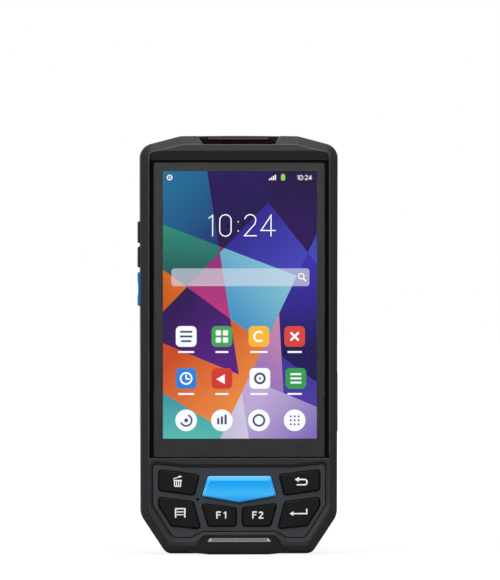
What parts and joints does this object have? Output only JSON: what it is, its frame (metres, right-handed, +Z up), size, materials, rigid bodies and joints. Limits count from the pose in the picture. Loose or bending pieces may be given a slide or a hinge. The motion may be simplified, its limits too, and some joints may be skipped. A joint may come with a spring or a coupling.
{
  "type": "portable barcode data terminal",
  "caption": "Slim handheld barcode data terminal with bevelled black housing, large touch display, shaped keypad, blue scan keys and an upward scan window.",
  "frame": {"origin": "centre of the foot, where the terminal stands upright", "axes": "+Z up the terminal's length, -Y out of the display and keys, -X towards the side keys"},
  "size_m": [0.081, 0.0212, 0.1699],
  "materials": {
    "housing": "fine moulded texture on black PC/ABS with rubbery paint",
    "door": "fine moulded texture",
    "chin": "smoother, satin",
    "hood": "satin dark grey",
    "flap": "matt rubber",
    "keypad_plate": "satin bluish dark grey",
    "key_black": "satin black key",
    "key_blue": "satin blue key",
    "black_plastic": "moulded",
    "cover_glass": "polished cover glass with black border",
    "tinted_glass": "dark tinted cover",
    "lens_glass": "polished",
    "red_acrylic": "deep red acrylic",
    "display": "lit display",
    "backlight": "white tray",
    "tape": "adhesive tape",
    "flex": "polyimide flex",
    "board": "solder mask",
    "rubber": "silicone rubber",
    "foam": "closed-cell foam",
    "alloy": "stamped and cast, satin",
    "can_metal": "nickel silver",
    "spring_steel": "snap domes",
    "screw_steel": "black zinc",
    "grille_metal": "satin silver",
    "brass": "turned",
    "gold": "gold flash",
    "battery_wrap": "satin shell",
    "lamp": "phosphor under clear dome"
  },
  "bodies": {
    "terminal": {"front_housing": "housing", "rear_housing": "housing", "housing_seal": "rubber", "housing_screws": "screw_steel", "touch_glass": "cover_glass", "glass_gasket": "tape", "display_panel": "display", "display_backlight": "backlight", "display_flex": "flex", "keypad_plate": "keypad_plate", "keypad_mat": "rubber", "dome_switches": "spring_steel", "keypad_board": "board", "microphone": "can_metal", "chin_cover": "chin", "speaker_grille": "grille_metal", "loudspeaker": "black_plastic", "scan_window": "red_acrylic", "scan_window_seal": "rubber", "scan_hood": "hood", "scan_engine": "alloy", "scan_engine_optics": "lens_glass", "mid_frame": "alloy", "main_board": "board", "shield_cans": "can_metal", "vibration_motor": "can_metal", "antenna_flex": "flex", "battery_pack": "battery_wrap", "battery_contacts": "black_plastic", "card_holder": "can_metal", "door_inserts": "brass", "camera_module": "black_plastic", "camera_window": "tinted_glass", "flash_led": "lamp", "side_switches": "black_plastic", "side_key_board": "flex", "usb_socket": "can_metal", "flap_pin": "screw_steel", "charging_contacts": "gold", "charging_board": "board"},
    "delete_key": {"delete_key": "key_black"},
    "back_key": {"back_key": "key_black"},
    "menu_key": {"menu_key": "key_black"},
    "enter_key": {"enter_key": "key_black"},
    "f1_key": {"f1_key": "key_black"},
    "f2_key": {"f2_key": "key_black"},
    "scan_key": {"scan_key": "key_blue"},
    "side_key_upper": {"side_key_upper": "key_black"},
    "side_key_lower": {"side_key_lower": "key_black"},
    "side_scan_key": {"side_scan_key": "key_blue"},
    "battery_door": {"battery_door": "door", "battery_door_seal": "rubber", "battery_pad": "foam"},
    "door_screw_left": {"door_screw_left": "screw_steel"},
    "door_screw_right": {"door_screw_right": "screw_steel"},
    "port_flap": {"port_flap": "flap"}
  },
  "joints": [
    {"name": "delete_key_press", "type": "slide", "parent": "terminal", "child": "delete_key", "axis": [0, 1, 0], "range_m": [0, 0.0005], "stiffness_N_per_m": 900, "springref_m": -0.0005},
    {"name": "back_key_press", "type": "slide", "parent": "terminal", "child": "back_key", "axis": [0, 1, 0], "range_m": [0, 0.0005], "stiffness_N_per_m": 900, "springref_m": -0.0005},
    {"name": "menu_key_press", "type": "slide", "parent": "terminal", "child": "menu_key", "axis": [0, 1, 0], "range_m": [0, 0.0005], "stiffness_N_per_m": 900, "springref_m": -0.0005},
    {"name": "enter_key_press", "type": "slide", "parent": "terminal", "child": "enter_key", "axis": [0, 1, 0], "range_m": [0, 0.0005], "stiffness_N_per_m": 900, "springref_m": -0.0005},
    {"name": "f1_key_press", "type": "slide", "parent": "terminal", "child": "f1_key", "axis": [0, 1, 0], "range_m": [0, 0.0005], "stiffness_N_per_m": 900, "springref_m": -0.0005},
    {"name": "f2_key_press", "type": "slide", "parent": "terminal", "child": "f2_key", "axis": [0, 1, 0], "range_m": [0, 0.0005], "stiffness_N_per_m": 900, "springref_m": -0.0005},
    {"name": "scan_key_press", "type": "slide", "parent": "terminal", "child": "scan_key", "axis": [0, 1, 0], "range_m": [0, 0.0005], "stiffness_N_per_m": 1200, "springref_m": -0.0005},
    {"name": "side_key_upper_press", "type": "slide", "parent": "terminal", "child": "side_key_upper", "axis": [1, 0, 0], "range_m": [0, 0.0004], "stiffness_N_per_m": 1200, "springref_m": -0.0005},
    {"name": "side_key_lower_press", "type": "slide", "parent": "terminal", "child": "side_key_lower", "axis": [1, 0, 0], "range_m": [0, 0.0004], "stiffness_N_per_m": 1200, "springref_m": -0.0005},
    {"name": "side_scan_key_press", "type": "slide", "parent": "terminal", "child": "side_scan_key", "axis": [1, 0, 0], "range_m": [0, 0.0004], "stiffness_N_per_m": 1200, "springref_m": -0.0005},
    {"name": "battery_door_tilt", "type": "hinge", "parent": "terminal", "child": "battery_door", "pos_m": [0, 0.0105, 0.0302], "axis": [-1, 0, 0], "range_deg": [0, 60]},
    {"name": "door_screw_left_turn", "type": "hinge", "parent": "battery_door", "child": "door_screw_left", "pos_m": [-0.024, 0.0105, 0.126], "axis": [0, 1, 0], "range_deg": [0, 720]},
    {"name": "door_screw_right_turn", "type": "hinge", "parent": "battery_door", "child": "door_screw_right", "pos_m": [0.024, 0.0105, 0.126], "axis": [0, 1, 0], "range_deg": [0, 720]},
    {"name": "port_flap_open", "type": "hinge", "parent": "terminal", "child": "port_flap", "pos_m": [0.03925, 0.0012, 0.062], "axis": [0, 0, 1], "range_deg": [0, 90]}
  ]
}
